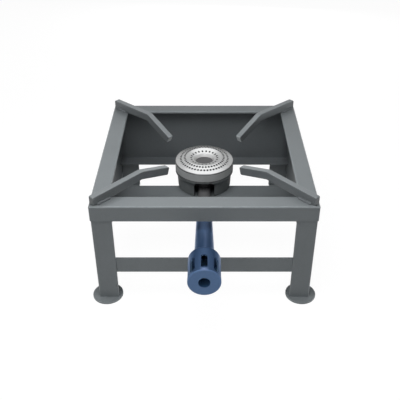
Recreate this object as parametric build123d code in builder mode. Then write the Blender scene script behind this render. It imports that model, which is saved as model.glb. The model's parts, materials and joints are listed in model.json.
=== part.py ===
# Commercial single-burner gas stove: a low angle-iron frame with a sheet wind shield,
# four bent pan supports, a ring burner on a cross bar and a blue venturi mixer at the front.
# Millimetres, +Z up, -Y is the front. Origin: bottom centre of the whole stove.
import math
import os

from build123d import *

# Top frame and legs
frame_size = 400.0
frame_height = 213.0
rail_width = 32.5
rail_depth = 31.0
rail_thick = 4.5
rail_round = 3.5
rail_toe_round = 3.0
corner_round = 3.5
leg_width = 37.0
back_leg_width = 43.0
leg_setback = 1.5
leg_round = 2.5
foot_dia = 57.0
foot_thick = 4.0
foot_chamfer = 0.6
foot_side_inset = 16.0
foot_end_inset = 13.0

# Front stretcher and wind shield
stretcher_drop = 117.5
stretcher_height = 32.0
stretcher_thick = 3.0
sheet_thick = 1.5
sheet_bend = 1.5
panel_lap = 22.0
back_lip_drop = 132.8
back_lip_depth = 31.0
side_panel_drop = 168.0

# Burner support bar
bar_drop = 80.0
bar_width = 75.0
bar_thick = 4.0
bar_bend = 2.0
bar_tab = 30.0
bar_back_edge = -9.0

# Pan supports
support_thick = 12.0
support_depth = 16.0
support_rise = 5.0
support_outer_r = 275.0
support_bend_r = 163.0
support_inner_r = 98.0
support_front_drop = 18.0
support_back_drop = 31.0
support_inside_bend = 8.0
support_end_round = 3.0
support_edge_round = 1.5

# Burner
burner_dia = 115.6
rim_height = 17.0
rim_wall = 4.0
rim_chamfer = 0.8
cap_drop = 25.0
cap_setback = 0.8
cap_edge = 1.6
cap_ridge_r = 35.0
cap_ridge_rise = 8.4
cap_hole_r = 20.1
cap_hole_rise = 3.6
cap_throat_r = 17.6
cap_thick = 4.2
cap_sleeve_wall = 2.4
cap_sleeve_depth = 11.0
cap_lip_depth = 4.0
cap_lip_wall = 2.6
cap_fit_gap = 0.4
groove_half = 1.6
groove_depth = 0.4
port_dia = 3.2
outer_port_r = 47.0
outer_ports = 48
inner_port_r = 39.0
inner_ports = 42
funnel_port_r = 26.0
funnel_ports = 22
bowl_floor = 4.0
bowl_depth = 6.0
bowl_wall = 4.0
bowl_fit_gap = 1.5
hub_drop = 2.6
hub_wall = 5.0
hub_core_r = 14.0
hub_top = 4.5
hub_shoulder_gap = 1.0
stand_setback = 0.2
stand_shoulder_step = 3.6
stand_taper = 1.4
stand_foot_round = 3.0
stand_wall = 4.0
stand_collar = 5.0
stand_shoulder = 7.0
stand_floor = 4.0
stand_floor_front = -11.0
arch_width = 40.0
arch_height = 35.0
arch_round = 8.0

# Burner bolts
bolt_dia = 8.0
bolt_thread_gap = 0.3
bolt_bar_gap = 0.6
bolt_flats = 13.0
bolt_head = 5.3
washer_dia = 16.0
washer_thick = 1.6
lug_dia = 17.0
lug_height = 14.0
lug_side_inset = 18.6
lug_y = -24.0
bolt_grip = 11.0

# Neck, venturi and mixer
neck_dia = 26.0
neck_bore = 19.0
neck_bar_gap = 1.0
riser_y = -30.0
riser_dia = 22.0
riser_bore = 15.0
duct_width = 24.0
duct_height = 16.0
duct_wall = 3.0
duct_end = 15.0
neck_start = 73.5
neck_back_wall = 4.0
neck_reach = 122.0
neck_fit_gap = 0.35
collar_dia = 36.0
collar_length = 24.0
collar_taper = 4.0
collar_lap = 2.0
tube_dia_back = 29.6
tube_dia_front = 35.2
tube_straight = 152.0
throat_dia = 17.0
throat_reach = 205.0
tube_mouth_dia = 27.0
spigot_dia = 30.0
spigot_length = 6.0
spigot_gap = 0.35
mixer_reach = 320.0
mixer_length = 62.0
mixer_dia = 55.6
mixer_wall = 3.0
mixer_back_wall = 4.0
mixer_front_wall = 5.0
mixer_back_round = 6.0
mixer_front_chamfer = 1.5
slot_count = 8
slot_length = 33.8
slot_width = 10.5
slot_setback = 5.6
inlet_dia = 20.0
inlet_depth = 17.0
inlet_boss_dia = 29.0
inlet_seat = 3.0
jet_pocket_dia = 15.5
jet_pocket_depth = 5.5

# Gas jet and set screw
jet_thread_dia = 8.0
jet_thread_gap = 0.3
jet_flats = 12.0
jet_head = 5.0
jet_tip_dia = 4.0
jet_tip = 12.0
jet_bore = 3.0
jet_orifice = 1.2
jet_land = 3.0
screw_dia = 6.0
screw_gap = 0.3
screw_flats = 10.0
screw_head = 4.0
screw_stick_out = 2.0
screw_tip_gap = 0.35

# Derived levels and positions
half = frame_size / 2
foot_x = half - foot_side_inset
foot_y = half - foot_end_inset
foot_reach = foot_y + foot_dia / 2
frame_y = (mixer_reach - foot_reach) / 2
leg_face = half - leg_setback
leg_inside = half - rail_thick
flange_under = frame_height - rail_thick
rail_under = frame_height - rail_depth
panel_inside = leg_inside - sheet_thick
side_panel_front = leg_face - leg_width + panel_lap
bar_top = frame_height - bar_drop
cap_seat = frame_height - cap_drop
rim_under = cap_seat - rim_height
burner_r = burner_dia / 2
cap_r = burner_r - cap_setback
rim_inside = burner_r - rim_wall
stand_top_r = burner_r - stand_setback
stand_shoulder_r = stand_top_r - stand_shoulder_step
stand_bottom_r = stand_shoulder_r - stand_taper
lug_x = stand_bottom_r - lug_side_inset
hub_post_r = cap_throat_r - cap_fit_gap
hub_r = hub_post_r + hub_wall
cap_sleeve_bottom = cap_seat + cap_hole_rise - cap_sleeve_depth
venturi_z = bar_top + neck_bar_gap + neck_dia / 2
duct_z = bar_top + neck_bar_gap + duct_height / 2
mixer_back = mixer_reach - mixer_length
jet_seat = mixer_reach - inlet_depth - jet_pocket_depth

# Working planes through the centre of the frame
plan = Plane(origin=(0, frame_y, 0), x_dir=(1, 0, 0), z_dir=(0, 0, 1))
cross = Plane(origin=(0, frame_y, 0), x_dir=(1, 0, 0), z_dir=(0, -1, 0))
long = Plane(origin=(0, frame_y, 0), x_dir=(0, 1, 0), z_dir=(1, 0, 0))
centre_axis = Axis((0, frame_y, 0), (0, 0, 1))
venturi_axis = Axis((0, frame_y, venturi_z), (0, 1, 0))
mid_plane = Plane(origin=(0, frame_y, 0), x_dir=(1, 0, 0), z_dir=(0, 1, 0))

# Top frame: four mitred angle irons, one flange inwards on top and one down the outside
with BuildPart() as top_rail_front:
    with BuildSketch(long) as rail_section:
        with BuildLine():
            Polyline(
                (-half, rail_under),
                (-half, frame_height),
                (-half + rail_width, frame_height),
                (-half + rail_width, flange_under),
                (-half + rail_thick, flange_under),
                (-half + rail_thick, rail_under),
                close=True,
            )
        make_face()
        fillet(rail_section.vertices().sort_by_distance((-half, frame_height))[0], rail_round)
        fillet(
            rail_section.vertices().sort_by_distance((-half + rail_width, frame_height))[0],
            rail_toe_round,
        )
    extrude(amount=half, both=True)
    with BuildSketch(plan):
        with BuildLine():
            Polyline((0, 0), (-half, -half), (half, -half), close=True)
        make_face()
        RectangleRounded(frame_size, frame_size, corner_round, mode=Mode.INTERSECT)
    extrude(amount=frame_height, mode=Mode.INTERSECT)

with BuildPart() as top_rail_right:
    add(top_rail_front.part.rotate(centre_axis, 90))

with BuildPart() as top_rail_back:
    add(top_rail_front.part.rotate(centre_axis, 180))

with BuildPart() as top_rail_left:
    add(top_rail_front.part.rotate(centre_axis, 270))


# Outline of a left leg seen from above; side is -1 for the front corner and 1 for the back one
def leg_outline(flange, side):
    return [
        (-leg_face, side * leg_face),
        (-leg_face + flange, side * leg_face),
        (-leg_face + flange, side * leg_inside),
        (-leg_inside, side * leg_inside),
        (-leg_inside, side * (leg_face - leg_width)),
        (-leg_face, side * (leg_face - leg_width)),
    ]


# Legs: upright angle irons under the corners of the frame, the back ones with a wider flange
with BuildPart() as leg_front_left:
    with BuildSketch(plan.offset(foot_thick)) as front_leg_section:
        with BuildLine():
            Polyline(*leg_outline(leg_width, -1), close=True)
        make_face()
        fillet(front_leg_section.vertices().sort_by_distance((-leg_face, -leg_face))[0], leg_round)
    extrude(amount=rail_under - foot_thick)

with BuildPart() as leg_back_left:
    with BuildSketch(plan.offset(foot_thick)) as back_leg_section:
        with BuildLine():
            Polyline(*leg_outline(back_leg_width, 1), close=True)
        make_face()
        fillet(back_leg_section.vertices().sort_by_distance((-leg_face, leg_face))[0], leg_round)
    extrude(amount=rail_under - foot_thick)

with BuildPart() as leg_front_right:
    add(leg_front_left.part.mirror(Plane.YZ))

with BuildPart() as leg_back_right:
    add(leg_back_left.part.mirror(Plane.YZ))

# Round foot plates under the legs
with BuildPart() as foot_plate_front_left:
    with BuildSketch(plan):
        with Locations((-foot_x, -foot_y)):
            Circle(foot_dia / 2)
    extrude(amount=foot_thick)
    chamfer(foot_plate_front_left.edges().filter_by(GeomType.CIRCLE), foot_chamfer)

with BuildPart() as foot_plate_front_right:
    add(foot_plate_front_left.part.mirror(Plane.YZ))

with BuildPart() as foot_plate_back_left:
    add(foot_plate_front_left.part.mirror(mid_plane))

with BuildPart() as foot_plate_back_right:
    add(foot_plate_back_left.part.mirror(Plane.YZ))

# Flat bar across the front, behind the front flanges of the legs
with BuildPart() as stretcher_front:
    with BuildSketch(cross.offset(leg_inside - stretcher_thick)):
        with Locations((0, frame_height - stretcher_drop - stretcher_height / 2)):
            Rectangle(2 * leg_inside, stretcher_height)
    extrude(amount=stretcher_thick)

# Back wind shield: a sheet with its bottom edge folded inwards
with BuildPart() as back_panel:
    with BuildSketch(long) as back_section:
        with BuildLine():
            Polyline(
                (leg_inside, flange_under),
                (leg_inside, frame_height - back_lip_drop - sheet_thick),
                (leg_inside - back_lip_depth, frame_height - back_lip_drop - sheet_thick),
                (leg_inside - back_lip_depth, frame_height - back_lip_drop),
                (panel_inside, frame_height - back_lip_drop),
                (panel_inside, flange_under),
                close=True,
            )
        make_face()
        fillet(
            back_section.vertices().sort_by_distance((panel_inside, frame_height - back_lip_drop))[0],
            sheet_bend,
        )
        fillet(
            back_section.vertices().sort_by_distance(
                (leg_inside, frame_height - back_lip_drop - sheet_thick)
            )[0],
            sheet_bend + sheet_thick,
        )
    extrude(amount=panel_inside, both=True)

# Side wind shields: flat sheets on the inside of the rails and legs, closing the corners with the back one
with BuildPart() as side_panel_left:
    with BuildSketch(long.offset(-leg_inside)):
        with Locations((-side_panel_front, flange_under)):
            Rectangle(
                side_panel_front + leg_inside,
                side_panel_drop - rail_thick,
                align=(Align.MIN, Align.MAX),
            )
    extrude(amount=sheet_thick)

with BuildPart() as side_panel_right:
    add(side_panel_left.part.mirror(Plane.YZ))

# Flat bar that carries the burner, with its ends folded down against the side shields
with BuildPart() as burner_support_bar:
    with BuildSketch(cross.offset(-bar_back_edge)) as bar_section:
        with BuildLine():
            Polyline(
                (-panel_inside, bar_top - bar_tab),
                (-panel_inside, bar_top),
                (panel_inside, bar_top),
                (panel_inside, bar_top - bar_tab),
                (panel_inside - bar_thick, bar_top - bar_tab),
                (panel_inside - bar_thick, bar_top - bar_thick),
                (-panel_inside + bar_thick, bar_top - bar_thick),
                (-panel_inside + bar_thick, bar_top - bar_tab),
                close=True,
            )
        make_face()
        fillet(
            bar_section.vertices().sort_by_distance((-panel_inside, bar_top))[0],
            bar_bend + bar_thick,
        )
        fillet(
            bar_section.vertices().sort_by_distance((panel_inside, bar_top))[0],
            bar_bend + bar_thick,
        )
        fillet(
            bar_section.vertices().sort_by_distance((-panel_inside + bar_thick, bar_top - bar_thick))[0],
            bar_bend,
        )
        fillet(
            bar_section.vertices().sort_by_distance((panel_inside - bar_thick, bar_top - bar_thick))[0],
            bar_bend,
        )
    extrude(amount=bar_width)
    with BuildSketch(plan.offset(bar_top)):
        with Locations((-lug_x, lug_y), (lug_x, lug_y)):
            Circle(bolt_dia / 2 + bolt_bar_gap)
    extrude(amount=-bar_thick, mode=Mode.SUBTRACT)


# Side outline of a pan support in distance from the centre and height, bent down towards the burner
def support_outline(drop):
    top_end = Vector(support_outer_r, frame_height + support_depth)
    top_bend = Vector(support_bend_r, frame_height + support_depth + support_rise)
    top_tip = Vector(support_inner_r, frame_height + support_depth + support_rise - drop)
    outer_run = (top_bend - top_end).normalized()
    inner_run = (top_tip - top_bend).normalized()
    outer_down = Vector(-outer_run.Y, outer_run.X)
    inner_down = Vector(-inner_run.Y, inner_run.X)
    low_bend = top_bend + (outer_down + inner_down) * (support_depth / (1 + outer_down.dot(inner_down)))
    low_tip = top_tip + inner_down * support_depth
    seat_end = Vector((half - rail_width) * math.sqrt(2), frame_height)
    low_end = Vector(support_outer_r, frame_height)
    return [top_end, top_bend, top_tip, low_tip, low_bend, seat_end, low_end]


# Pan supports: bars on edge across the frame's corners, pointing at the burner
front_left_diagonal = Plane(origin=(0, frame_y, 0), x_dir=(-1, -1, 0), z_dir=(-1, 1, 0))
back_left_diagonal = Plane(origin=(0, frame_y, 0), x_dir=(-1, 1, 0), z_dir=(1, 1, 0))

front_outline = support_outline(support_front_drop)
with BuildPart() as pan_support_front_left:
    with BuildSketch(front_left_diagonal) as front_support:
        with BuildLine():
            Polyline(*[(p.X, p.Y) for p in front_outline], close=True)
        make_face()
        fillet(
            front_support.vertices().sort_by_distance(front_outline[1])[0],
            support_inside_bend + support_depth,
        )
        fillet(front_support.vertices().sort_by_distance(front_outline[4])[0], support_inside_bend)
        for corner in (front_outline[0], front_outline[2], front_outline[3]):
            fillet(front_support.vertices().sort_by_distance(corner)[0], support_end_round)
    extrude(amount=support_thick / 2, both=True)
    for cheek in pan_support_front_left.faces().filter_by(front_left_diagonal):
        fillet(cheek.edges(), support_edge_round)

back_outline = support_outline(support_back_drop)
with BuildPart() as pan_support_back_left:
    with BuildSketch(back_left_diagonal) as back_support:
        with BuildLine():
            Polyline(*[(p.X, p.Y) for p in back_outline], close=True)
        make_face()
        fillet(
            back_support.vertices().sort_by_distance(back_outline[1])[0],
            support_inside_bend + support_depth,
        )
        fillet(back_support.vertices().sort_by_distance(back_outline[4])[0], support_inside_bend)
        for corner in (back_outline[0], back_outline[2], back_outline[3]):
            fillet(back_support.vertices().sort_by_distance(corner)[0], support_end_round)
    extrude(amount=support_thick / 2, both=True)
    for cheek in pan_support_back_left.faces().filter_by(back_left_diagonal):
        fillet(cheek.edges(), support_edge_round)

with BuildPart() as pan_support_front_right:
    add(pan_support_front_left.part.mirror(Plane.YZ))

with BuildPart() as pan_support_back_right:
    add(pan_support_back_left.part.mirror(Plane.YZ))

# Burner stand: a shouldered cast ring with an arch at the front for the neck, two bolting lugs inside
# and a floor that closes it behind the bar
with BuildPart() as burner_stand:
    with BuildSketch(cross) as stand_section:
        with BuildLine():
            Polyline(
                (stand_bottom_r, bar_top),
                (stand_shoulder_r, rim_under - stand_collar - stand_shoulder),
                (stand_top_r, rim_under - stand_collar),
                (stand_top_r, rim_under),
                (stand_top_r - stand_wall, rim_under),
                (stand_top_r - stand_wall, rim_under - stand_collar),
                (stand_shoulder_r - stand_wall, rim_under - stand_collar - stand_shoulder),
                (stand_bottom_r - stand_wall, bar_top),
                close=True,
            )
        make_face()
        fillet(stand_section.vertices().sort_by_distance((stand_bottom_r, bar_top))[0], stand_foot_round)
    revolve(axis=centre_axis)
    with BuildSketch(plan.offset(bar_top)):
        with Locations((-lug_x, lug_y), (lug_x, lug_y)):
            Circle(lug_dia / 2)
        Circle(stand_bottom_r - stand_wall / 2, mode=Mode.INTERSECT)
    extrude(amount=lug_height)
    with BuildSketch(plan.offset(bar_top)):
        with Locations((-lug_x, lug_y), (lug_x, lug_y)):
            Circle(bolt_dia / 2 + bolt_thread_gap)
    extrude(amount=lug_height, mode=Mode.SUBTRACT)
    with BuildSketch(plan.offset(bar_top)):
        with Locations((0, stand_floor_front)):
            Rectangle(2 * stand_bottom_r, 2 * stand_bottom_r, align=(Align.CENTER, Align.MIN))
        Circle(stand_bottom_r - stand_wall / 2, mode=Mode.INTERSECT)
    extrude(amount=stand_floor)
    with BuildSketch(cross.offset(-stand_floor_front)) as arch:
        with Locations((0, bar_top + arch_height / 2)):
            Rectangle(arch_width, arch_height)
        fillet(arch.vertices().group_by(Axis.Y)[-1], arch_round)
    extrude(amount=stand_top_r + stand_floor_front, mode=Mode.SUBTRACT)

# Bolts and washers that hold the stand to the bar from below
with BuildPart() as burner_bolts:
    with BuildSketch(plan.offset(bar_top - bar_thick)):
        with Locations((-lug_x, lug_y), (lug_x, lug_y)):
            Circle(washer_dia / 2)
    extrude(amount=-washer_thick)
    with BuildSketch(plan.offset(bar_top - bar_thick - washer_thick)):
        with Locations((-lug_x, lug_y), (lug_x, lug_y)):
            RegularPolygon(bolt_flats / 2, 6, major_radius=False)
    extrude(amount=-bolt_head)
    with BuildSketch(plan.offset(bar_top - bar_thick - washer_thick)):
        with Locations((-lug_x, lug_y), (lug_x, lug_y)):
            Circle(bolt_dia / 2)
    extrude(amount=washer_thick + bar_thick + bolt_grip)

# Burner body: a cast ring bowl with a centre hub, and a flat duct and round neck that run out to the front
bowl_lower_r = stand_top_r - stand_wall - bowl_fit_gap
bowl_under = rim_under - bowl_depth - bowl_floor
bowl_inside = rim_under - bowl_depth
neck_r = neck_dia / 2
with BuildPart() as burner_body:
    with BuildSketch(cross):
        with BuildLine():
            Polyline(
                (hub_core_r, bowl_under),
                (bowl_lower_r - bowl_floor, bowl_under),
                (bowl_lower_r, bowl_inside),
                (bowl_lower_r, rim_under),
                (burner_r, rim_under),
                (burner_r, cap_seat - rim_chamfer),
                (burner_r - rim_chamfer, cap_seat),
                (rim_inside, cap_seat),
                (rim_inside, rim_under + bowl_floor),
                (bowl_lower_r - bowl_wall, rim_under),
                (bowl_lower_r - bowl_wall, bowl_inside),
                (hub_r, bowl_inside),
                (hub_r, cap_sleeve_bottom - hub_shoulder_gap),
                (hub_post_r, cap_sleeve_bottom - hub_shoulder_gap),
                (hub_post_r, cap_seat - hub_drop),
                (0, cap_seat - hub_drop),
                (0, cap_seat - hub_drop - hub_top),
                (hub_core_r, cap_seat - hub_drop - hub_top),
                close=True,
            )
        make_face()
    revolve(axis=centre_axis)
    with BuildSketch(plan.offset(duct_z)):
        with Locations((0, riser_y)):
            Circle(riser_dia / 2)
    extrude(amount=bowl_under + bowl_floor / 2 - duct_z)
    with BuildSketch(cross.offset(-riser_y - duct_end)):
        with Locations((0, duct_z)):
            SlotOverall(duct_width, duct_height)
    extrude(amount=neck_start + riser_y + duct_end)
    with BuildSketch(cross.offset(neck_start)):
        with Locations((0, venturi_z)):
            Circle(neck_r)
    extrude(amount=neck_reach - neck_start)
    with BuildSketch(cross.offset(neck_start + neck_back_wall)):
        with Locations((0, venturi_z)):
            Circle(neck_bore / 2)
    extrude(amount=neck_reach - neck_start - neck_back_wall, mode=Mode.SUBTRACT)
    with BuildSketch(cross.offset(-riser_y - duct_end + duct_wall)):
        with Locations((0, duct_z)):
            SlotOverall(duct_width - 2 * duct_wall, duct_height - 2 * duct_wall)
    extrude(amount=neck_start + riser_y + duct_end + neck_back_wall, mode=Mode.SUBTRACT)
    with BuildSketch(plan.offset(duct_z)):
        with Locations((0, riser_y)):
            Circle(riser_bore / 2)
    extrude(amount=bowl_inside - duct_z, mode=Mode.SUBTRACT)

# Burner cap: a shallow cone with a funnel and a sleeve in the middle, drilled with three rings of flame ports
cap_ridge_z = cap_seat + cap_ridge_rise
cap_edge_z = cap_seat + cap_edge
cap_slope = (cap_ridge_z - cap_edge_z) / (cap_r - cap_ridge_r)
cap_lip_r = rim_inside - cap_fit_gap
cap_lip_in = cap_lip_r - cap_lip_wall
cap_sleeve_r = cap_hole_r + cap_sleeve_wall
funnel_slope = (cap_ridge_rise - cap_hole_rise) / (cap_ridge_r - cap_hole_r)
sleeve_meets_z = cap_seat + cap_hole_rise + cap_sleeve_wall * funnel_slope - cap_thick


# Height of the cap's outer slope at a given radius
def cap_height(radius):
    return cap_edge_z + (cap_r - radius) * cap_slope


with BuildPart() as burner_cap:
    with BuildSketch(cross):
        with BuildLine():
            Polyline(
                (cap_r, cap_seat),
                (cap_r, cap_edge_z),
                (outer_port_r + groove_half, cap_height(outer_port_r + groove_half)),
                (outer_port_r, cap_height(outer_port_r) - groove_depth),
                (outer_port_r - groove_half, cap_height(outer_port_r - groove_half)),
                (inner_port_r + groove_half, cap_height(inner_port_r + groove_half)),
                (inner_port_r, cap_height(inner_port_r) - groove_depth),
                (inner_port_r - groove_half, cap_height(inner_port_r - groove_half)),
                (cap_ridge_r, cap_ridge_z),
                (cap_hole_r, cap_seat + cap_hole_rise),
                (cap_throat_r, cap_seat - hub_drop),
                (cap_throat_r, cap_sleeve_bottom),
                (cap_sleeve_r, cap_sleeve_bottom),
                (cap_sleeve_r, sleeve_meets_z),
                (cap_ridge_r, cap_ridge_z - cap_thick),
                (cap_lip_in, cap_height(cap_lip_in) - cap_thick),
                (cap_lip_in, cap_seat - cap_lip_depth),
                (cap_lip_r, cap_seat - cap_lip_depth),
                (cap_lip_r, cap_seat),
                close=True,
            )
        make_face()
    revolve(axis=centre_axis)
    with BuildSketch(plan.offset(cap_seat - cap_thick)):
        with PolarLocations(outer_port_r, outer_ports):
            Circle(port_dia / 2)
        with PolarLocations(inner_port_r, inner_ports):
            Circle(port_dia / 2)
        with PolarLocations(funnel_port_r, funnel_ports):
            Circle(port_dia / 2)
    extrude(amount=cap_thick + cap_ridge_rise, mode=Mode.SUBTRACT)

# Venturi tube: a socket for the neck, a throat, and a mouth that opens into the mixer
socket_end = neck_reach
with BuildPart() as venturi_tube:
    with BuildSketch(long):
        with BuildLine():
            Polyline(
                (-socket_end - collar_lap + collar_length, venturi_z + neck_r + neck_fit_gap),
                (-socket_end - collar_lap + collar_length, venturi_z + collar_dia / 2),
                (-socket_end - collar_lap, venturi_z + collar_dia / 2),
                (-socket_end - collar_lap - collar_taper, venturi_z + tube_dia_back / 2),
                (-tube_straight, venturi_z + tube_dia_back / 2),
                (-mixer_back, venturi_z + tube_dia_front / 2),
                (-mixer_back, venturi_z + spigot_dia / 2),
                (-mixer_back - spigot_length, venturi_z + spigot_dia / 2),
                (-mixer_back - spigot_length, venturi_z + tube_mouth_dia / 2),
                (-throat_reach, venturi_z + throat_dia / 2),
                (-socket_end, venturi_z + neck_bore / 2),
                (-socket_end, venturi_z + neck_r + neck_fit_gap),
                close=True,
            )
        make_face()
    revolve(axis=venturi_axis)
    with BuildSketch(plan.offset(venturi_z + neck_r)):
        with Locations((0, -socket_end - collar_lap + collar_length / 2)):
            Circle(screw_dia / 2 + screw_gap)
    extrude(amount=collar_dia / 2, mode=Mode.SUBTRACT)

# Set screw through the collar onto the neck
with BuildPart() as venturi_set_screw:
    with BuildSketch(plan.offset(venturi_z + neck_r + screw_tip_gap)):
        with Locations((0, -socket_end - collar_lap + collar_length / 2)):
            Circle(screw_dia / 2)
    extrude(amount=collar_dia / 2 + screw_stick_out - neck_r - screw_tip_gap)
    with BuildSketch(plan.offset(venturi_z + collar_dia / 2 + screw_stick_out)):
        with Locations((0, -socket_end - collar_lap + collar_length / 2)):
            RegularPolygon(screw_flats / 2, 6, major_radius=False)
    extrude(amount=screw_head)

# One air slot cutter, above the mixer's axis
with BuildPart() as slot_cutter:
    with BuildSketch(plan.offset(venturi_z + mixer_dia / 2 - 2 * mixer_wall)):
        with Locations((0, -mixer_reach + slot_setback + slot_length / 2)):
            SlotOverall(slot_length, slot_width, rotation=90)
    extrude(amount=3 * mixer_wall)

# Mixer cup: a drum on the end of the tube with air slots round it and a threaded gas inlet in front
with BuildPart() as mixer_cup:
    with BuildSketch(long) as cup_section:
        with BuildLine():
            Polyline(
                (-mixer_back, venturi_z + spigot_dia / 2 + spigot_gap),
                (-mixer_back, venturi_z + mixer_dia / 2),
                (-mixer_reach, venturi_z + mixer_dia / 2),
                (-mixer_reach, venturi_z + inlet_dia / 2),
                (-mixer_reach + inlet_depth, venturi_z + inlet_dia / 2),
                (-mixer_reach + inlet_depth, venturi_z + jet_pocket_dia / 2),
                (-jet_seat, venturi_z + jet_pocket_dia / 2),
                (-jet_seat, venturi_z + jet_thread_dia / 2 + jet_thread_gap),
                (-jet_seat + inlet_seat, venturi_z + jet_thread_dia / 2 + jet_thread_gap),
                (-jet_seat + inlet_seat, venturi_z + inlet_boss_dia / 2),
                (-mixer_reach + mixer_front_wall, venturi_z + inlet_boss_dia / 2),
                (-mixer_reach + mixer_front_wall, venturi_z + mixer_dia / 2 - mixer_wall),
                (-mixer_back - mixer_back_wall, venturi_z + mixer_dia / 2 - mixer_wall),
                (-mixer_back - mixer_back_wall, venturi_z + spigot_dia / 2 + spigot_gap),
                close=True,
            )
        make_face()
        fillet(
            cup_section.vertices().sort_by_distance((-mixer_back, venturi_z + mixer_dia / 2))[0],
            mixer_back_round,
        )
        chamfer(
            cup_section.vertices().sort_by_distance((-mixer_reach, venturi_z + mixer_dia / 2))[0],
            mixer_front_chamfer,
        )
    revolve(axis=venturi_axis)
    for slot in range(slot_count):
        add(slot_cutter.part.rotate(venturi_axis, slot * 360 / slot_count), mode=Mode.SUBTRACT)

# Brass gas jet screwed into a pocket below the inlet, aimed down the venturi
with BuildPart() as gas_jet:
    with BuildSketch(cross.offset(jet_seat)):
        with Locations((0, venturi_z)):
            RegularPolygon(jet_flats / 2, 6, major_radius=False)
    extrude(amount=jet_head)
    with BuildSketch(long):
        with BuildLine():
            Polyline(
                (-jet_seat, venturi_z),
                (-jet_seat, venturi_z + jet_thread_dia / 2),
                (-jet_seat + inlet_seat, venturi_z + jet_thread_dia / 2),
                (-jet_seat + inlet_seat + jet_tip, venturi_z + jet_tip_dia / 2),
                (-jet_seat + inlet_seat + jet_tip, venturi_z),
                close=True,
            )
        make_face()
    revolve(axis=venturi_axis)
    with BuildSketch(cross.offset(jet_seat - inlet_seat - jet_tip + jet_land)):
        with Locations((0, venturi_z)):
            Circle(jet_bore / 2)
    extrude(amount=jet_head + inlet_seat + jet_tip - jet_land, mode=Mode.SUBTRACT)
    with BuildSketch(cross.offset(jet_seat - inlet_seat - jet_tip)):
        with Locations((0, venturi_z)):
            Circle(jet_orifice / 2)
    extrude(amount=jet_land, mode=Mode.SUBTRACT)

pieces = {
    "top_rail_front": top_rail_front,
    "top_rail_back": top_rail_back,
    "top_rail_left": top_rail_left,
    "top_rail_right": top_rail_right,
    "leg_front_left": leg_front_left,
    "leg_front_right": leg_front_right,
    "leg_back_left": leg_back_left,
    "leg_back_right": leg_back_right,
    "foot_plate_front_left": foot_plate_front_left,
    "foot_plate_front_right": foot_plate_front_right,
    "foot_plate_back_left": foot_plate_back_left,
    "foot_plate_back_right": foot_plate_back_right,
    "stretcher_front": stretcher_front,
    "back_panel": back_panel,
    "side_panel_left": side_panel_left,
    "side_panel_right": side_panel_right,
    "burner_support_bar": burner_support_bar,
    "pan_support_front_left": pan_support_front_left,
    "pan_support_front_right": pan_support_front_right,
    "pan_support_back_left": pan_support_back_left,
    "pan_support_back_right": pan_support_back_right,
    "burner_stand": burner_stand,
    "burner_bolts": burner_bolts,
    "burner_body": burner_body,
    "burner_cap": burner_cap,
    "venturi_tube": venturi_tube,
    "venturi_set_screw": venturi_set_screw,
    "mixer_cup": mixer_cup,
    "gas_jet": gas_jet,
}

os.makedirs("parts", exist_ok=True)
for name, piece in pieces.items():
    piece.part.label = name
    export_step(piece.part, f"parts/{name}.step")
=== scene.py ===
import json
import math

import bpy
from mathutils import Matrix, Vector


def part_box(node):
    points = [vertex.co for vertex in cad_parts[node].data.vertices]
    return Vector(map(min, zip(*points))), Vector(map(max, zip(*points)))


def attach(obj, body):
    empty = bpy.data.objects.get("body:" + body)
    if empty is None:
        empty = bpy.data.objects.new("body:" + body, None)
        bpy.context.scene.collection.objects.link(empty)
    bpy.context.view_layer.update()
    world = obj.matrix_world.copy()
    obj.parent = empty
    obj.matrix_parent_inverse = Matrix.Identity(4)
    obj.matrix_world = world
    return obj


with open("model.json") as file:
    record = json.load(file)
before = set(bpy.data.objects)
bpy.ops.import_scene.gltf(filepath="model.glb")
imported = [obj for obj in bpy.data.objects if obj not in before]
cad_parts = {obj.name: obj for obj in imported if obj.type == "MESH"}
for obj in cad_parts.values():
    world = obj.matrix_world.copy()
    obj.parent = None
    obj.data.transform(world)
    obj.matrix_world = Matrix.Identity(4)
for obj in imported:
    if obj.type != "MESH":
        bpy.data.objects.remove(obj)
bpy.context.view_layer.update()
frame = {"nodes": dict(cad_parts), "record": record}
nodes = frame["nodes"]
bpy.ops.object.select_all(action="DESELECT")
print("frame loaded:", len(nodes), "CAD nodes")

# the middle and the top of the square frame, and the two axes that finishes follow, read from the CAD
railLow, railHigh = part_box("top_rail_front")
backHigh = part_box("top_rail_back")[1]
cupLow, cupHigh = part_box("mixer_cup")
centreY = (railLow.y + backHigh.y) / 2
topZ = railHigh.z
burnerAxis = {"through": (0, centreY, 0), "across": (1, 1, 0)}
mixerAxis = {"through": (0, 0, (cupLow.z + cupHigh.z) / 2), "across": (1, 0, 1)}

# limits that several finishes share
noiseSpan = (0.3, 0.7)  # most of a noise lies between these
facesUp = (0.7, 0.9)  # upward part of the normal, from a slope to a flat top


# shader nodes: a value is a plain number or colour, or the output of another node

def feed(tree, socket, value):
    if isinstance(value, bpy.types.NodeSocket):
        tree.links.new(value, socket)
    else:
        socket.default_value = value


def addMath(tree, kind, first, second=0.0):
    node = tree.nodes.new("ShaderNodeMath")
    node.operation = kind
    feed(tree, node.inputs[0], first)
    feed(tree, node.inputs[1], second)
    return node.outputs[0]


def addProduct(tree, first, *others):
    product = first
    for factor in others:
        product = addMath(tree, "MULTIPLY", product, factor)
    return product


def addVector(tree, kind, first, second=None):
    node = tree.nodes.new("ShaderNodeVectorMath")
    node.operation = kind
    feed(tree, node.inputs[0], first)
    if second is not None:
        feed(tree, node.inputs["Scale" if kind == "SCALE" else 1], second)
    return node.outputs["Value" if kind in ("LENGTH", "DOT_PRODUCT") else "Vector"]


def splitXYZ(tree, vector):
    node = tree.nodes.new("ShaderNodeSeparateXYZ")
    feed(tree, node.inputs[0], vector)
    return node.outputs


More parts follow.
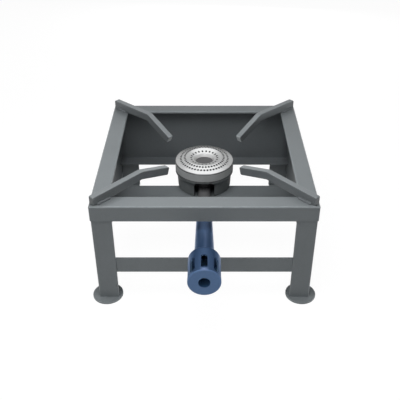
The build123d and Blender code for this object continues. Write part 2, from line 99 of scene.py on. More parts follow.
def addRange(tree, value, low, high, newLow, newHigh):
    node = tree.nodes.new("ShaderNodeMapRange")
    settings = {"Value": value, "From Min": low, "From Max": high, "To Min": newLow, "To Max": newHigh}
    for label, setting in settings.items():
        feed(tree, node.inputs[label], setting)
    return node.outputs["Result"]


def addMix(tree, factor, first, second):
    node = tree.nodes.new("ShaderNodeMix")
    node.data_type = "RGBA"
    node.clamp_result = True
    for label, value in (("Factor", factor), ("A", first), ("B", second)):
        used = next(socket for socket in node.inputs if socket.name == label and socket.enabled)
        feed(tree, used, value)
    return next(socket for socket in node.outputs if socket.enabled)


def addNoise(tree, coords, scale, detail, roughness):
    noise = tree.nodes.new("ShaderNodeTexNoise")
    feed(tree, noise.inputs["Vector"], coords)
    feed(tree, noise.inputs["Scale"], scale)
    noise.inputs["Detail"].default_value = detail
    noise.inputs["Roughness"].default_value = roughness
    return noise.outputs["Fac"]


# where a point lies on its piece, and which way the face looks there
def readSurface(tree):
    texture = tree.nodes.new("ShaderNodeTexCoord")
    return texture.outputs["Object"], texture.outputs["Normal"]


# the step from an axis to the point, and its length
def addSpoke(tree, coords, axis):
    fromAxis = addVector(tree, "SUBTRACT", coords, axis["through"])
    spoke = addVector(tree, "MULTIPLY", fromAxis, axis["across"])
    return spoke, addVector(tree, "LENGTH", spoke)


def newGroup(name, inputs, outputs):
    group = bpy.data.node_groups.new(name, "ShaderNodeTree")
    for way, sockets in (("INPUT", inputs), ("OUTPUT", outputs)):
        for label, kind in sockets.items():
            group.interface.new_socket(label, in_out=way, socket_type="NodeSocket" + kind)
    return group, group.nodes.new("NodeGroupInput").outputs, group.nodes.new("NodeGroupOutput").inputs


def placeGroup(tree, group, values):
    node = tree.nodes.new("ShaderNodeGroup")
    node.node_tree = group
    for label, value in values.items():
        feed(tree, node.inputs[label], value)
    return node.outputs


def newMaterial(name):
    material = bpy.data.materials.new(name)
    material.use_nodes = True
    tree = material.node_tree
    return material, tree, tree.nodes["Principled BSDF"]


def addBump(tree, shader, height, distance, strength):
    bump = tree.nodes.new("ShaderNodeBump")
    bump.inputs["Distance"].default_value = distance
    bump.inputs["Strength"].default_value = strength
    feed(tree, bump.inputs["Height"], height)
    feed(tree, shader.inputs["Normal"], bump.outputs["Normal"])


# the last links of a finish, from its coat (sprayed paint or cast skin) to the shader
def finishSurface(tree, shader, coat, color, look):
    feed(tree, shader.inputs["Base Color"], color)
    feed(tree, shader.inputs["Roughness"], coat["Roughness"])
    shader.inputs["Specular IOR Level"].default_value = look["specular"]
    shader.inputs["Metallic"].default_value = look["metallic"]
    addBump(tree, shader, coat["Height"], look["bumpDepth"], look["bumpStrength"])


# sprayed paint: a soft cloudy tone with fine specks, an orange peel and small changes of gloss
sprayedPaint = {"cloud": {"scale": 14.0, "detail": 3.0, "roughness": 0.55}, "cloudSpan": (0.2, 0.8),
                "speck": {"scale": 380.0, "detail": 2.0, "roughness": 0.6}, "speckTones": (0.97, 1.03),
                "peel": {"detail": 2.0, "roughness": 0.5}, "glossPatch": (-0.06, 0.06)}


def makePaintGroup(look):
    group, given, result = newGroup(
        "sprayedPaint",
        {"Color": "Color", "Cloud": "Float", "Peel Scale": "Float", "Gloss": "Float"},
        {"Color": "Color", "Roughness": "Float", "Height": "Float"},
    )
    coords, _ = readSurface(group)
    cloud = addNoise(group, coords, **look["cloud"])
    speck = addNoise(group, coords, **look["speck"])
    darkest = addMath(group, "SUBTRACT", 1.0, given["Cloud"])
    palest = addMath(group, "ADD", 1.0, given["Cloud"])
    cloudTone = addRange(group, cloud, *look["cloudSpan"], darkest, palest)
    speckTone = addRange(group, speck, *noiseSpan, *look["speckTones"])
    tone = addProduct(group, cloudTone, speckTone)
    glossPatch = addRange(group, cloud, *look["cloudSpan"], *look["glossPatch"])
    feed(group, result["Color"], addVector(group, "SCALE", given["Color"], tone))
    feed(group, result["Roughness"], addMath(group, "ADD", given["Gloss"], glossPatch))
    feed(group, result["Height"], addNoise(group, coords, given["Peel Scale"], **look["peel"]))
    return group


# paler edges, partly wear and partly a painted highlight: where a face turns between two flat sides, broken
# up by a little noise
wornAndSheenEdges = {"turn": (0.98, 0.82), "noise": {"scale": 90.0, "detail": 3.0, "roughness": 0.6},
               "breakSpan": (0.3, 0.6), "breakShare": (0.55, 1.0)}


def makeWornAndSheenEdgesGroup(look):
    group, given, result = newGroup("wornAndSheenEdges", {"Normal": "Vector"}, {"Mask": "Float"})
    coords, _ = readSurface(group)
    parts = splitXYZ(group, addVector(group, "ABSOLUTE", given["Normal"]))
    most = addMath(group, "MAXIMUM", addMath(group, "MAXIMUM", parts["X"], parts["Y"]), parts["Z"])
    turned = addRange(group, most, *look["turn"], 0.0, 1.0)
    noise = addNoise(group, coords, **look["noise"])
    broken = addRange(group, noise, *look["breakSpan"], *look["breakShare"])
    feed(group, result["Mask"], addProduct(group, turned, broken))
    return group


# cast skin: sandy grain over slow blotches
castSkin = {"grain": {"detail": 4.0, "roughness": 0.65}, "grainTones": (0.93, 1.06),
            "blotch": {"scale": 45.0, "detail": 3.0, "roughness": 0.6}, "blotchTones": (0.92, 1.07),
            "glossPatch": (-0.05, 0.07)}


def makeSkinGroup(look):
    group, given, result = newGroup(
        "castSkin",
        {"Color": "Color", "Grain Scale": "Float", "Gloss": "Float"},
        {"Color": "Color", "Roughness": "Float", "Height": "Float"},
    )
    coords, _ = readSurface(group)
    grain = addNoise(group, coords, given["Grain Scale"], **look["grain"])
    blotch = addNoise(group, coords, **look["blotch"])
    grainTone = addRange(group, grain, *noiseSpan, *look["grainTones"])
    blotchTone = addRange(group, blotch, *noiseSpan, *look["blotchTones"])
    tone = addProduct(group, grainTone, blotchTone)
    glossPatch = addRange(group, blotch, *noiseSpan, *look["glossPatch"])
    feed(group, result["Color"], addVector(group, "SCALE", given["Color"], tone))
    feed(group, result["Roughness"], addMath(group, "ADD", given["Gloss"], glossPatch))
    feed(group, result["Height"], grain)
    return group


paintGroup = makePaintGroup(sprayedPaint)
wornAndSheenEdgesGroup = makeWornAndSheenEdgesGroup(wornAndSheenEdges)
skinGroup = makeSkinGroup(castSkin)


def placePaint(tree, color, look):
    return placeGroup(tree, paintGroup, {
        "Color": color, "Cloud": look["cloud"], "Peel Scale": look["peelScale"], "Gloss": look["gloss"],
    })


# painted and plated metal: paler on edges, partly worn and partly a painted highlight, and where its look
# says so with painted light:
# paler tops, painted shade growing with the distance from the origin along X or Y, painted highlights on
# tips, painted shadow at the supports' feet
framePaintLook = {
    "color": (0.205, 0.225, 0.235), "cloud": 0.05, "peelScale": 650.0, "gloss": 0.34, "edgeWearAndSheen": 0.35,
    # the back rail darker than the front: painted shade
    "shadeRamp": {"axis": "Y", "from": centreY + 0.10, "to": centreY + 0.18, "near": 1.0, "far": 0.84},
    # painted shadow along each pan support's foot, deeper on the left
    "footShadow": {"from": 0.009, "to": 0.036, "left": 0.40, "right": 0.20, "turnX": 0.05, "depth": 0.005},
    "specular": 0.16, "metallic": 0.0, "bumpDepth": 0.0004, "bumpStrength": 0.10,
}
supportPaintLook = {
    "color": (0.137, 0.149, 0.155), "cloud": 0.07, "peelScale": 520.0, "gloss": 0.36, "edgeWearAndSheen": 0.25,
    # tops paler than the sides: painted light; tips paler: a painted highlight
    "turn": 45.0, "topLightTone": 1.47, "tipHighlight": {"from": -0.5, "to": -0.7, "tone": 2.0},
    "specular": 0.20, "metallic": 0.0, "bumpDepth": 0.0005, "bumpStrength": 0.14,
}
panelPaintLook = {
    "color": (0.130, 0.143, 0.151), "cloud": 0.05, "peelScale": 800.0, "gloss": 0.40, "edgeWearAndSheen": 0.15,
    # the side panels darker than the back panel: painted shade
    "shadeRamp": {"axis": "X", "from": 0.180, "to": 0.190, "near": 1.0, "far": 0.75},
    "specular": 0.06, "metallic": 0.0, "bumpDepth": 0.0003, "bumpStrength": 0.10,
}
barPaintLook = {
    "color": (0.130, 0.144, 0.151), "cloud": 0.07, "peelScale": 700.0, "gloss": 0.46, "edgeWearAndSheen": 0.15,
    # darker towards both ends near the side walls: painted shade
    "shadeRamp": {"axis": "X", "from": 0.105, "to": 0.172, "near": 1.05, "far": 0.60},
    "specular": 0.08, "metallic": 0.0, "bumpDepth": 0.0004, "bumpStrength": 0.12,
}
brassLook = {
    "color": (0.66, 0.46, 0.18), "cloud": 0.06, "peelScale": 900.0, "gloss": 0.30, "edgeWearAndSheen": 0.10,
    "specular": 0.5, "metallic": 1.0, "bumpDepth": 0.0002, "bumpStrength": 0.08,
}
platedSteelLook = {
    "color": (0.30, 0.31, 0.32), "cloud": 0.06, "peelScale": 900.0, "gloss": 0.48, "edgeWearAndSheen": 0.10,
    "specular": 0.5, "metallic": 1.0, "bumpDepth": 0.0002, "bumpStrength": 0.08,
}


# painted highlight on the ends of the pan supports that look at the burner
def addTipHighlight(tree, coords, normal, tipHighlight):
    spoke, radius = addSpoke(tree, coords, burnerAxis)
    outwards = addMath(tree, "DIVIDE", addVector(tree, "DOT_PRODUCT", spoke, normal), radius)
    return addRange(tree, outwards, tipHighlight["from"], tipHighlight["to"], 1.0, tipHighlight["tone"])


# painted shadow on the rails along the foot of each pan support, which lies on a diagonal of the frame
def addFootShadow(tree, place, facing, footShadow):
    across = addMath(tree, "ABSOLUTE", place["X"])
    along = addMath(tree, "ABSOLUTE", addMath(tree, "SUBTRACT", place["Y"], centreY))
    away = addMath(tree, "ABSOLUTE", addMath(tree, "SUBTRACT", across, along))
    footShade = addProduct(
        tree,
        addRange(tree, place["X"], -footShadow["turnX"], footShadow["turnX"], footShadow["left"], footShadow["right"]),
        addRange(tree, away, footShadow["from"], footShadow["to"], 1.0, 0.0),
        addRange(tree, facing["Z"], *facesUp, 0.0, 1.0),
        addMath(tree, "GREATER_THAN", place["Z"], topZ - footShadow["depth"]),
    )
    return addMath(tree, "SUBTRACT", 1.0, footShade)


def paintedSteel(name, look):
    material, tree, shader = newMaterial(name)
    coords, normal = readSurface(tree)
    place = splitXYZ(tree, coords)
    facing = splitXYZ(tree, normal)
    turned = tree.nodes.new("ShaderNodeVectorRotate")
    turned.rotation_type = "Z_AXIS"
    turned.inputs["Angle"].default_value = math.radians(look.get("turn", 0.0))
    feed(tree, turned.inputs["Vector"], normal)
    edgeMarks = placeGroup(tree, wornAndSheenEdgesGroup, {"Normal": turned.outputs["Vector"]})
    # edges paler, partly from wear and partly as a painted highlight
    tones = [addRange(tree, edgeMarks["Mask"], 0.0, 1.0, 1.0, 1.0 + look["edgeWearAndSheen"])]
    # paler tops: painted light
    if "topLightTone" in look:
        tones.append(addRange(tree, facing["Z"], *facesUp, 1.0, look["topLightTone"]))
    # painted shade that grows with the distance from the origin along X or Y
    if "shadeRamp" in look:
        shadeRamp = look["shadeRamp"]
        along = addMath(tree, "ABSOLUTE", place[shadeRamp["axis"]])
        tones.append(addRange(tree, along, shadeRamp["from"], shadeRamp["to"], shadeRamp["near"], shadeRamp["far"]))
    # painted highlight on the tips
    if "tipHighlight" in look:
        tones.append(addTipHighlight(tree, coords, normal, look["tipHighlight"]))
    # painted shadow at the pan supports' feet
    if "footShadow" in look:
        tones.append(addFootShadow(tree, place, facing, look["footShadow"]))
    paint = placePaint(tree, (*look["color"], 1), look)
    color = addVector(tree, "SCALE", paint["Color"], addProduct(tree, *tones))
    finishSurface(tree, shader, paint, color, look)
    return material


# castings: a sandy skin, with the faces that look away from the burner's axis in a tone of their own,
# on the grey one only where its band shows: outside a radius, above a height and not on flat tops
castDarkLook = {
    "inner": (0.360, 0.354, 0.345), "outer": (0.128, 0.139, 0.142), "outwards": 0.01,
    "grain": 900.0, "gloss": 0.55,
    "specular": 0.25, "metallic": 0.0, "bumpDepth": 0.0006, "bumpStrength": 0.35,
}
castGreyLook = {
    "inner": (0.072, 0.072, 0.075), "outer": (0.370, 0.384, 0.384), "outwards": 0.01,
    # the dark tone on the band's flat top and chamfer is painted shadow in the seam under the cap, and below
    # this height painted shade on its lower edge
    "band": {"outFrom": 0.0520, "upFrom": 0.1722, "flattest": 0.3},
    "grain": 1100.0, "gloss": 0.50,
    "specular": 0.30, "metallic": 0.0, "bumpDepth": 0.0005, "bumpStrength": 0.35,
}


def castMetal(name, look):
    material, tree, shader = newMaterial(name)
    coords, normal = readSurface(tree)
    spoke, radius = addSpoke(tree, coords, burnerAxis)
    outer = addRange(tree, addVector(tree, "DOT_PRODUCT", spoke, normal), 0.0, look["outwards"], 0.0, 1.0)
    if "band" in look:
        band = look["band"]
        outer = addProduct(
            tree, outer,
            addMath(tree, "GREATER_THAN", radius, band["outFrom"]),
            addMath(tree, "GREATER_THAN", splitXYZ(tree, coords)["Z"], band["upFrom"]),
            addMath(tree, "LESS_THAN", splitXYZ(tree, normal)["Z"], band["flattest"]),
        )
    tone = addMix(tree, outer, (*look["inner"], 1), (*look["outer"], 1))
    skin = placeGroup(tree, skinGroup, {"Color": tone, "Grain Scale": look["grain"], "Gloss": look["gloss"]})
    finishSurface(tree, shader, skin, skin["Color"], look)
    return material


# blue paint with painted light: a darker top, paler sides and front face, painted highlights along the tube
# and at the mixer's front edge, a paler inner wall in the mixer, painted shade in the gas inlet, and painted
# light behind the front rail over its shadow
venturiBlueLook = {
    # painted light: a darker top, paler sides as a painted reflection, and a paler front face
    "topColor": (0.028, 0.060, 0.128), "sideColor": (0.135, 0.218, 0.390),
    "faceColor": (0.098, 0.172, 0.318), "highlightColor": (0.155, 0.220, 0.385),
    "boreColor": (0.240, 0.385, 0.530), "holeColor": (0.030, 0.085, 0.185),
    "side": {"from": 0.58, "to": 0.95, "outwards": 0.004},
    "face": {"from": -0.55, "to": -0.65},
    "upper": {"from": 0.4, "to": 0.6},
    # painted highlight along the tube's top
    "streak": {"x": 0.0018, "half": 0.0045, "from": railLow.y - 0.016, "to": railLow.y + 0.004,
               "strong": 0.25, "weak": 0.03},
    # painted highlight at the mixer's front edge
    "edgeHighlight": {"half": 0.0080, "length": 0.0085, "fullShare": 0.3},
    # a paler inner wall in the mixer is painted light, and the darker gas inlet is painted shade
    "bore": {"inwards": -0.002, "from": 0.0120, "to": 0.0255},
    "hole": {"radius": 0.0105, "front": 0.0008, "back": 0.0200},
    # paler behind the front rail: painted light over the rail's shadow on the tube
    "shadowLift": {"from": railLow.y - 0.012, "to": railLow.y + 0.010, "near": 1.0, "far": 1.6},
    "cloud": 0.06, "peelScale": 600.0, "gloss": 0.36,
    "specular": 0.12, "metallic": 0.35, "bumpDepth": 0.0004, "bumpStrength": 0.10,
}


def addStreakHighlight(tree, place, upper, streak):
    offStreak = addMath(tree, "ABSOLUTE", addMath(tree, "SUBTRACT", place["X"], streak["x"]))
    return addProduct(
        tree,
        addRange(tree, offStreak, 0.0, streak["half"], 1.0, 0.0),
        addRange(tree, place["Y"], streak["from"], streak["to"], streak["strong"], streak["weak"]),
        addMath(tree, "GREATER_THAN", place["Y"], cupHigh.y),
        upper,
    )


def addEdgeHighlight(tree, place, upper, edgeHighlight):
    fullTo = cupLow.y + edgeHighlight["fullShare"] * edgeHighlight["length"]
    return addProduct(
        tree,
        addRange(tree, addMath(tree, "ABSOLUTE", place["X"]), 0.0, edgeHighlight["half"], 1.0, 0.0),
        addRange(tree, place["Y"], fullTo, cupLow.y + edgeHighlight["length"], 1.0, 0.0),
        upper,
    )


def bluePaint(name, look):
    material, tree, shader = newMaterial(name)
    coords, normal = readSurface(tree)
    place = splitXYZ(tree, coords)
    facing = splitXYZ(tree, normal)
    spoke, radius = addSpoke(tree, coords, mixerAxis)
    outwards = addVector(tree, "DOT_PRODUCT", spoke, normal)
    sideways = addMath(tree, "ABSOLUTE", facing["X"])
    upper = addRange(tree, facing["Z"], look["upper"]["from"], look["upper"]["to"], 0.0, 1.0)
    side, bore, hole, shadowLift = look["side"], look["bore"], look["hole"], look["shadowLift"]
    # painted light and shade, layered over the top colour
    layers = (
        ("sideColor", addProduct(
            tree,
            addRange(tree, sideways, side["from"], side["to"], 0.0, 1.0),
            addMath(tree, "GREATER_THAN", outwards, side["outwards"]),
        )),
        ("faceColor", addRange(tree, facing["Y"], look["face"]["from"], look["face"]["to"], 0.0, 1.0)),
        ("highlightColor", addStreakHighlight(tree, place, upper, look["streak"])),
        ("highlightColor", addEdgeHighlight(tree, place, upper, look["edgeHighlight"])),
        ("boreColor", addProduct(
            tree,
            addMath(tree, "LESS_THAN", outwards, bore["inwards"]),
            addMath(tree, "GREATER_THAN", radius, bore["from"]),
            addMath(tree, "LESS_THAN", radius, bore["to"]),
        )),
        ("holeColor", addProduct(
            tree,
            addMath(tree, "LESS_THAN", radius, hole["radius"]),
            addMath(tree, "GREATER_THAN", place["Y"], cupLow.y + hole["front"]),
            addMath(tree, "LESS_THAN", place["Y"], cupLow.y + hole["back"]),
        )),
    )
    tone = (*look["topColor"], 1)
    for colorName, mask in layers:
        tone = addMix(tree, mask, tone, (*look[colorName], 1))
    # painted light that lifts the front rail's shadow on the tube
    shadowLiftTone = addRange(tree, place["Y"], shadowLift["from"], shadowLift["to"], shadowLift["near"], shadowLift["far"])
    paint = placePaint(tree, addVector(tree, "SCALE", tone, shadowLiftTone), look)
    finishSurface(tree, shader, paint, paint["Color"], look)
    return material


# turned cap: fine rings from the lathe, painted shade in and round the drilled ports, a brighter throat in
# the middle
capMetalLook = {
    "color": (0.41, 0.415, 0.415), "gloss": 0.30, "glossPatch": (-0.04, 0.05),
    "rings": {"scale": 1600.0, "detail": 2.0, "tones": (0.95, 1.04), "depth": 0.00004, "strength": 0.5},
    "smear": {"scale": 60.0, "detail": 3.0, "roughness": 0.55}, "smearTones": (0.96, 1.03),
    # painted shade in the port walls and grooves, and a halo round each port
    "portShade": {"color": (0.030, 0.030, 0.030), "dull": 0.4, "upright": (0.35, 0.20),
             "from": 0.0215, "to": 0.0520, "softEdge": 0.0003},
    "portRings": ((0.047, 48), (0.039, 42), (0.026, 22)),
    "halo": {"full": 0.0016, "end": 0.0022, "long": 1.22, "slim": 0.90},
    "throat": {"color": (0.660, 0.660, 0.660), "radius": 0.0203, "dull": 0.18, "upright": (0.6, 0.5)},
}


# a painted shade halo on each port of the drilled rings, drawn out along the spokes
def addPortHalos(tree, spoke, radius, look):
    parts = splitXYZ(tree, spoke)
    angle = addMath(tree, "ARCTAN2", parts["Y"], parts["X"])
    halo = look["halo"]
    halos = 0.0
    for ringRadius, count in look["portRings"]:
        turns = addMath(tree, "MULTIPLY", angle, count / math.tau)
        offPort = addMath(tree, "SUBTRACT", turns, addMath(tree, "ROUND", turns))
        around = addMath(tree, "MULTIPLY", offPort, math.tau * ringRadius / count / halo["slim"])
        outwards = addMath(tree, "DIVIDE", addMath(tree, "SUBTRACT", radius, ringRadius), halo["long"])
        squares = [addMath(tree, "MULTIPLY", step, step) for step in (around, outwards)]
        away = addMath(tree, "SQRT", addMath(tree, "ADD", *squares))
        spot = addRange(tree, away, halo["full"], halo["end"], 1.0, 0.0)
        halos = addMath(tree, "MAXIMUM", halos, spot)
    return halos


def addPortShade(tree, spoke, radius, upward, look):
    portShade = look["portShade"]
    inPorts = addProduct(
        tree,
        addRange(tree, radius, portShade["from"] - portShade["softEdge"], portShade["from"], 0.0, 1.0),
        addRange(tree, radius, portShade["to"], portShade["to"] + portShade["softEdge"], 1.0, 0.0),
        addRange(tree, upward, *portShade["upright"], 0.0, 1.0),
    )
    return addMath(tree, "MAXIMUM", inPorts, addPortHalos(tree, spoke, radius, look))


def turnedCap(name, look):
    material, tree, shader = newMaterial(name)
    coords, normal = readSurface(tree)
    upward = splitXYZ(tree, normal)["Z"]
    spoke, radius = addSpoke(tree, coords, burnerAxis)
    rings = tree.nodes.new("ShaderNodeTexNoise")
    rings.noise_dimensions = "1D"
    feed(tree, rings.inputs["W"], radius)
    rings.inputs["Scale"].default_value = look["rings"]["scale"]
    rings.inputs["Detail"].default_value = look["rings"]["detail"]
    ringHeight = rings.outputs["Fac"]
    smear = addNoise(tree, coords, **look["smear"])
    tone = addProduct(
        tree,
        addRange(tree, ringHeight, *noiseSpan, *look["rings"]["tones"]),
        addRange(tree, smear, *noiseSpan, *look["smearTones"]),
    )
    portShade = addPortShade(tree, spoke, radius, upward, look)
    throat = addProduct(
        tree,
        addMath(tree, "LESS_THAN", radius, look["throat"]["radius"]),
        addRange(tree, upward, *look["throat"]["upright"], 0.0, 1.0),
    )
    skin = addMix(tree, throat, addVector(tree, "SCALE", look["color"], tone), (*look["throat"]["color"], 1))
    roughness = addRange(tree, smear, *noiseSpan, *(look["gloss"] + patch for patch in look["glossPatch"]))
    for mask, dull in ((throat, look["throat"]["dull"]), (portShade, look["portShade"]["dull"])):
        roughness = addMath(tree, "ADD", roughness, addMath(tree, "MULTIPLY", mask, dull))
    feed(tree, shader.inputs["Base Color"], addMix(tree, portShade, skin, (*look["portShade"]["color"], 1)))
    feed(tree, shader.inputs["Metallic"], addMath(tree, "SUBTRACT", 1.0, portShade))
    feed(tree, shader.inputs["Roughness"], roughness)
    addBump(tree, shader, ringHeight, look["rings"]["depth"], look["rings"]["strength"])
    return material


finishes = {
    "frame_paint": paintedSteel("framePaint", framePaintLook),
    "support_paint": paintedSteel("supportPaint", supportPaintLook),
    "panel_paint": paintedSteel("panelPaint", panelPaintLook),
    "bar_paint": paintedSteel("barPaint", barPaintLook),
    "cast_grey": castMetal("castGrey", castGreyLook),
    "cast_dark": castMetal("castDark", castDarkLook),
    "venturi_blue": bluePaint("venturiBlue", venturiBlueLook),
    "brass": paintedSteel("jetBrass", brassLook),
    "plated_steel": paintedSteel("platedSteel", platedSteelLook),
    "cap_metal": turnedCap("capMetal", capMetalLook),
}
for subpart in frame["record"]["subparts"]:
    node = nodes[subpart["node"]]
    node.data.materials.clear()
    node.data.materials.append(finishes[subpart["material_slot"]])
print("finishes on the CAD nodes:", len(finishes))


# small pieces modelled here: weld beads and the inlet's thread

def onlySelect(piece):
    bpy.ops.object.select_all(action="DESELECT")
    piece.select_set(True)
    bpy.context.view_layer.objects.active = piece


def applyModifiers(piece):
    onlySelect(piece)
    for modifier in list(piece.modifiers):
        bpy.ops.object.modifier_apply(modifier=modifier.name)


def keepPiece(piece, body, material):
    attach(piece, body)
    piece.data.materials.clear()
    piece.data.materials.append(material)


# a bead on both sides of each pan support's foot: a row of balls under one lumpy skin
weldBead = {"radius": 0.0030, "segments": 16, "rings": 10, "pitch": 0.0022, "fromR": 0.2405, "toR": 0.2647,
            "side": 0.0064, "rise": 0.0004, "armHalf": 0.0060, "sink": 0.0003, "voxel": 0.0005,
            "lump": 0.0009, "lumpSize": 0.007, "softShare": 0.5, "softPasses": 2, "smoothAngle": 50,
            "corners": {"back_right": 45, "back_left": 135, "front_left": 225, "front_right": 315}}

# darker than the supports' paint, so the beads also stand for the shadow along each foot: painted shade
weldPaintLook = {
    "color": (0.115, 0.126, 0.133), "cloud": 0.10, "peelScale": 420.0, "gloss": 0.46, "edgeWearAndSheen": 0.0,
    "specular": 0.20, "metallic": 0.0, "bumpDepth": 0.0006, "bumpStrength": 0.25,
}
weldPaint = paintedSteel("weldPaint", weldPaintLook)

# one bead along +X of the burner's axis, then a copy of it on each corner
bpy.ops.object.select_all(action="DESELECT")
bpy.ops.mesh.primitive_uv_sphere_add(
    segments=weldBead["segments"], ring_count=weldBead["rings"], radius=weldBead["radius"],
    location=(weldBead["fromR"], weldBead["side"], topZ + weldBead["rise"]),
)
bead = bpy.context.active_object
bpy.ops.object.transform_apply(location=True, rotation=False, scale=False)
beadRow = bead.modifiers.new("row", "ARRAY")
beadRow.use_relative_offset = False
beadRow.use_constant_offset = True
beadRow.constant_offset_displace = (weldBead["pitch"], 0, 0)
beadRow.count = round((weldBead["toR"] - weldBead["fromR"]) / weldBead["pitch"]) + 1
beadSkin = bead.modifiers.new("skin", "REMESH")
beadSkin.mode = "VOXEL"
beadSkin.voxel_size = weldBead["voxel"]
lumpNoise = bpy.data.textures.new("beadLumps", "CLOUDS")
lumpNoise.noise_scale = weldBead["lumpSize"]
beadLumps = bead.modifiers.new("lumps", "DISPLACE")
beadLumps.texture = lumpNoise
beadLumps.strength = weldBead["lump"]
beadSoft = bead.modifiers.new("soft", "SMOOTH")
beadSoft.factor = weldBead["softShare"]
beadSoft.iterations = weldBead["softPasses"]
applyModifiers(bead)
# only what shows is kept: above the rail and outside the bar
bpy.ops.object.mode_set(mode="EDIT")
for cutPlace, cutNormal in (((0, 0, topZ - weldBead["sink"]), (0, 0, 1)),
                            ((0, weldBead["armHalf"] - weldBead["sink"], 0), (0, 1, 0))):
    bpy.ops.mesh.select_all(action="SELECT")
    bpy.ops.mesh.bisect(plane_co=cutPlace, plane_no=cutNormal, use_fill=True, clear_inner=True)
bpy.ops.object.mode_set(mode="OBJECT")
otherSide = bead.modifiers.new("otherSide", "MIRROR")
otherSide.use_axis = (False, True, False)
otherSide.use_mirror_merge = False
applyModifiers(bead)
bpy.ops.object.mode_set(mode="EDIT")
bpy.ops.mesh.select_all(action="SELECT")
bpy.ops.mesh.normals_make_consistent(inside=False)
bpy.ops.object.mode_set(mode="OBJECT")
bpy.ops.object.shade_smooth_by_angle(angle=math.radians(weldBead["smoothAngle"]))

for corner, turn in weldBead["corners"].items():
    beadCopy = bead.copy()
    beadCopy.data = bead.data.copy()
    beadCopy.name = "support_weld_" + corner
    bpy.context.collection.objects.link(beadCopy)
    beadCopy.rotation_euler = (0, 0, math.radians(turn))
    beadCopy.location = (0, centreY, 0)
    onlySelect(beadCopy)
    bpy.ops.object.transform_apply(location=True, rotation=True, scale=False)
    keepPiece(beadCopy, "stove", weldPaint)
bpy.data.objects.remove(bead)
print("weld beads:", len(weldBead["corners"]))

# the half-inch thread in the gas inlet, one four-cornered ridge wound along the bore
inletThread = {"pitch": 0.0018, "depth": 0.0007, "corners": 4, "turns": 8, "steps": 40, "setIn": 0.0012,
               "mergeGap": 0.00001}
inlet = next(mount for mount in frame["record"]["mounts"] if mount["name"] == "gas_inlet")
inletAt = Vector(inlet["pos_m"]) + Vector((0, inletThread["setIn"], 0))
bpy.ops.object.select_all(action="DESELECT")
bpy.ops.mesh.primitive_circle_add(
    vertices=inletThread["corners"], radius=inletThread["depth"], location=inletAt,
    rotation=(0, math.pi / 2, 0),
)
thread = bpy.context.active_object
thread.name = "gas_inlet_thread"
bpy.ops.object.transform_apply(location=False, rotation=True, scale=False)
bpy.ops.object.mode_set(mode="EDIT")
bpy.ops.mesh.select_all(action="SELECT")
bpy.ops.transform.translate(value=(0, 0, inlet["dims"]["r_mm"] / 1000))
bpy.ops.object.mode_set(mode="OBJECT")
threadWind = thread.modifiers.new("wind", "SCREW")
threadWind.axis = "Y"
threadWind.angle = math.tau
threadWind.screw_offset = inletThread["pitch"]
threadWind.iterations = inletThread["turns"]
threadWind.steps = inletThread["steps"]
threadWind.render_steps = inletThread["steps"]
applyModifiers(thread)
bpy.ops.object.mode_set(mode="EDIT")
bpy.ops.mesh.select_all(action="DESELECT")
bpy.ops.mesh.select_non_manifold()
bpy.ops.mesh.edge_face_add()
bpy.ops.mesh.select_all(action="SELECT")
bpy.ops.mesh.remove_doubles(threshold=inletThread["mergeGap"])
bpy.ops.mesh.normals_make_consistent(inside=False)
bpy.ops.object.mode_set(mode="OBJECT")
bpy.ops.object.transform_apply(location=True, rotation=False, scale=False)
keepPiece(thread, "stove", finishes["venturi_blue"])
print("inlet thread:", len(thread.data.polygons), "faces")


# floor, light and camera

studio = {"floorSize": 12.0, "floorColor": (0.55, 0.55, 0.55), "floorRoughness": 0.9, "floorGlow": 1.06,
          "shadowColor": (0.95, 0.95, 0.95), "shadowShare": 0.10,
          "worldColor": (1, 1, 1), "worldLight": 0.16, "worldSeen": 1.0}


def mixShaders(tree, share, first, second):
    mix = tree.nodes.new("ShaderNodeMixShader")
    for socket, value in zip(mix.inputs, (share, first, second)):
        feed(tree, socket, value)
    return mix.outputs[0]


# the first shader lights the paint, and the second is what the camera and gloss see
def backdropMix(tree, litShader, backShader, output):
    path = tree.nodes.new("ShaderNodeLightPath")
    seen = addMath(tree, "MAXIMUM", path.outputs["Is Camera Ray"], path.outputs["Is Glossy Ray"])
    seen = addMath(tree, "MAXIMUM", seen, path.outputs["Is Transmission Ray"])
    feed(tree, output.inputs["Surface"], mixShaders(tree, seen, litShader, backShader))


# a white floor with a faint shadow
bpy.ops.mesh.primitive_plane_add(size=studio["floorSize"], location=(0, 0, 0))
floor = bpy.context.active_object
floor.name = "studioFloor"
floorMaterial, floorTree, floorShader = newMaterial("studioFloorPale")
floorShader.inputs["Base Color"].default_value = (*studio["floorColor"], 1)
floorShader.inputs["Roughness"].default_value = studio["floorRoughness"]
shadowSide = floorTree.nodes.new("ShaderNodeBsdfDiffuse")
shadowSide.inputs["Color"].default_value = (*studio["shadowColor"], 1)
whiteSide = floorTree.nodes.new("ShaderNodeEmission")
whiteSide.inputs["Strength"].default_value = studio["floorGlow"]
seenFloor = mixShaders(floorTree, studio["shadowShare"], whiteSide.outputs[0], shadowSide.outputs[0])
backdropMix(floorTree, floorShader.outputs[0], seenFloor, floorTree.nodes["Material Output"])
floor.data.materials.append(floorMaterial)

world = bpy.data.worlds.new("studioWorld")
bpy.context.scene.world = world
world.use_nodes = True
worldTree = world.node_tree
worldLight = worldTree.nodes["Background"]
worldSeen = worldTree.nodes.new("ShaderNodeBackground")
for background, strength in ((worldLight, studio["worldLight"]), (worldSeen, studio["worldSeen"])):
    background.inputs["Color"].default_value = (*studio["worldColor"], 1)
    background.inputs["Strength"].default_value = strength
backdropMix(worldTree, worldLight.outputs[0], worldSeen.outputs[0], worldTree.nodes["World Output"])

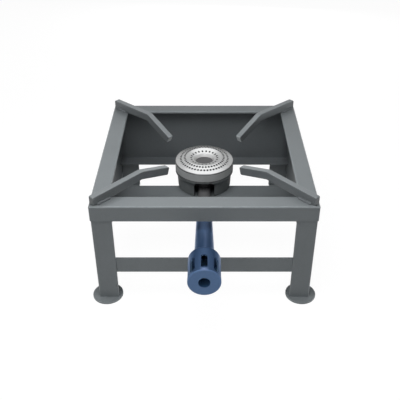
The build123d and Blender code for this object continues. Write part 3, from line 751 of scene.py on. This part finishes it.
# a soft key over the front rail, weak fills on all four sides, and two cards overhead that only gloss mirrors
lamps = {
    "keySoftbox": {"at": (-0.05, -0.31, 0.90), "size": (0.6, 0.6), "power": 4.9, "lights": ("paint",)},
    "leftFill": {"at": (-0.70, -0.10, 0.85), "size": (0.6, 0.6), "power": 1.7, "lights": ("paint", "gloss")},
    "frontFill": {"at": (-0.35, -1.60, 0.50), "size": (0.9, 0.9), "power": 2.2, "lights": ("paint", "gloss")},
    "backFill": {"at": (0.15, 1.60, 0.40), "size": (1.0, 0.6), "power": 7.0, "lights": ("paint",)},
    "rightFill": {"at": (1.40, 0.00, 0.07), "size": (0.9, 0.12), "power": 5.0, "lights": ("paint",)},
    "backCard": {"at": (0.00, 0.55, 1.37), "size": (1.05, 1.05), "power": 3.6, "lights": ("gloss",)},
    "frontCard": {"at": (-0.05, -0.45, 1.20), "size": (0.95, 0.95), "power": 2.8, "lights": ("gloss",)},
}
aimAt = Vector((0, centreY, topZ))
for name, lamp in lamps.items():
    spot = Vector(lamp["at"]) + Vector((0, centreY, 0))
    bpy.ops.object.light_add(type="AREA", location=spot)
    softbox = bpy.context.active_object
    softbox.name = name
    softbox.data.shape = "ELLIPSE"
    softbox.data.size, softbox.data.size_y = lamp["size"]
    softbox.data.energy = lamp["power"]
    softbox.rotation_euler = (aimAt - spot).to_track_quat("-Z", "Y").to_euler()
    softbox.visible_camera = False
    softbox.visible_diffuse = "paint" in lamp["lights"]
    softbox.visible_glossy = "gloss" in lamp["lights"]

cameraView = {"ahead": 1.0768, "above": 0.6084, "pitchDown": 34.13, "lens": 56.10, "sensor": 36.0,
              "shiftX": -0.0107}
bpy.ops.object.camera_add(
    location=(0, centreY - cameraView["ahead"], topZ + cameraView["above"]),
    rotation=(math.radians(90 - cameraView["pitchDown"]), 0, 0),
)
camera = bpy.context.active_object
camera.data.sensor_width = cameraView["sensor"]
camera.data.lens = cameraView["lens"]
camera.data.shift_x = cameraView["shiftX"]
bpy.context.scene.camera = camera
bpy.context.scene.view_settings.view_transform = "Standard"
print("studio and camera set")
